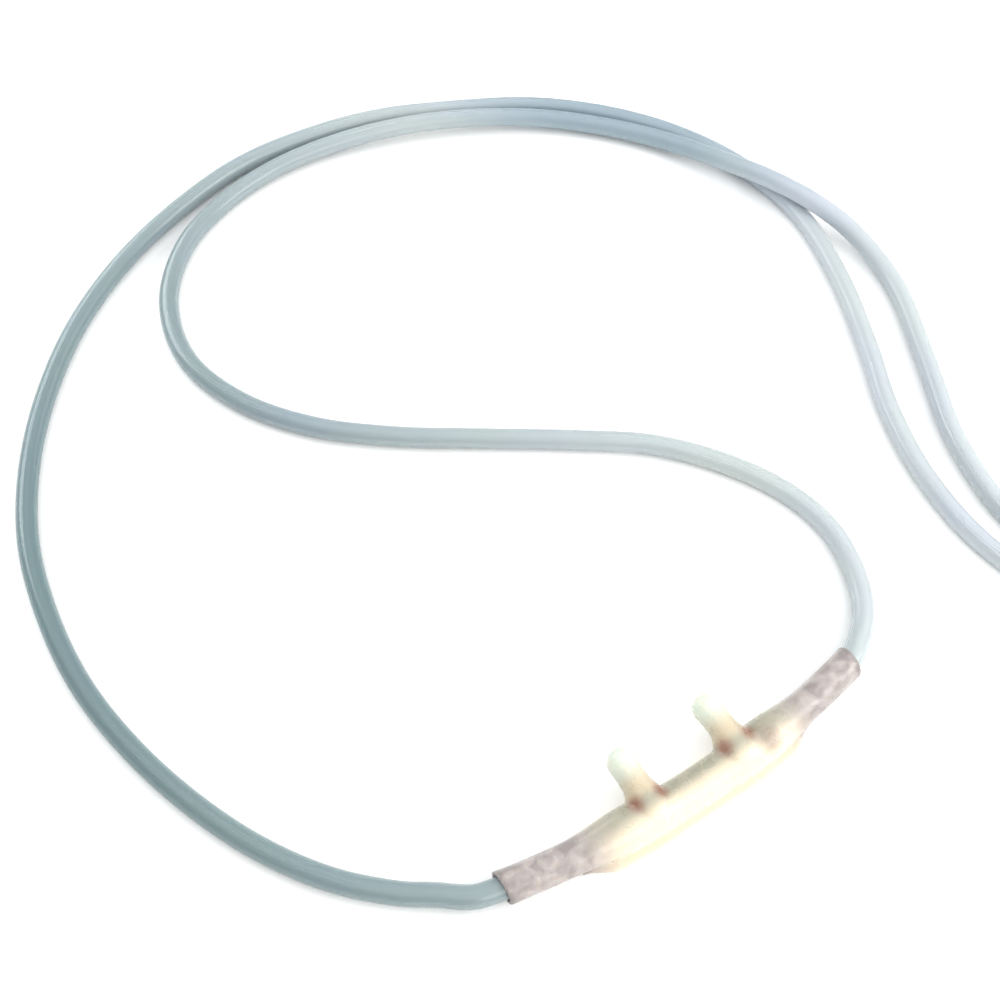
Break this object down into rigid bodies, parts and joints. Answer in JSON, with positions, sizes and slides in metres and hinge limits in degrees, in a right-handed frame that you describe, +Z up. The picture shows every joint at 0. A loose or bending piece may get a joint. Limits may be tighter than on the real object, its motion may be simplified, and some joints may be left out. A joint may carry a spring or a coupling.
{
  "type": "nasal oxygen cannula",
  "caption": "Soft nosepiece with two curved prongs, a looped pair of thin tubes with slide adjuster and Y connector, and a coiled supply tube ending in a funnel connector.",
  "frame": {"origin": "middle of the nosepiece's flat underside, the face that lies on the wearer's upper lip; the surface that the part lies on is Z = 0", "axes": "+X along the nosepiece towards its right-hand socket, +Y the way the two prongs point, +Z up out of the surface"},
  "size_m": [0.2904, 0.1839, 0.0101],
  "materials": {
    "soft_nosepiece": "soft translucent vinyl, warm cream, satin gloss",
    "clear_tubing": "clear blue-grey vinyl tubing, glossy",
    "moulded_vinyl": "clear moulded vinyl, lightly frosted"
  },
  "bodies": {
    "cannula": {"nosepiece": "soft_nosepiece", "left_tube": "clear_tubing", "right_tube": "clear_tubing", "y_connector": "moulded_vinyl", "supply_tube": "clear_tubing", "supply_coil": "clear_tubing", "supply_tail": "clear_tubing", "end_connector": "moulded_vinyl"},
    "adjuster": {"slide_adjuster": "moulded_vinyl"}
  },
  "joints": [
    {"name": "adjuster_slide", "type": "slide", "parent": "cannula", "child": "adjuster", "axis": [-1, 0, 0], "range_m": [0, 0.022]}
  ]
}
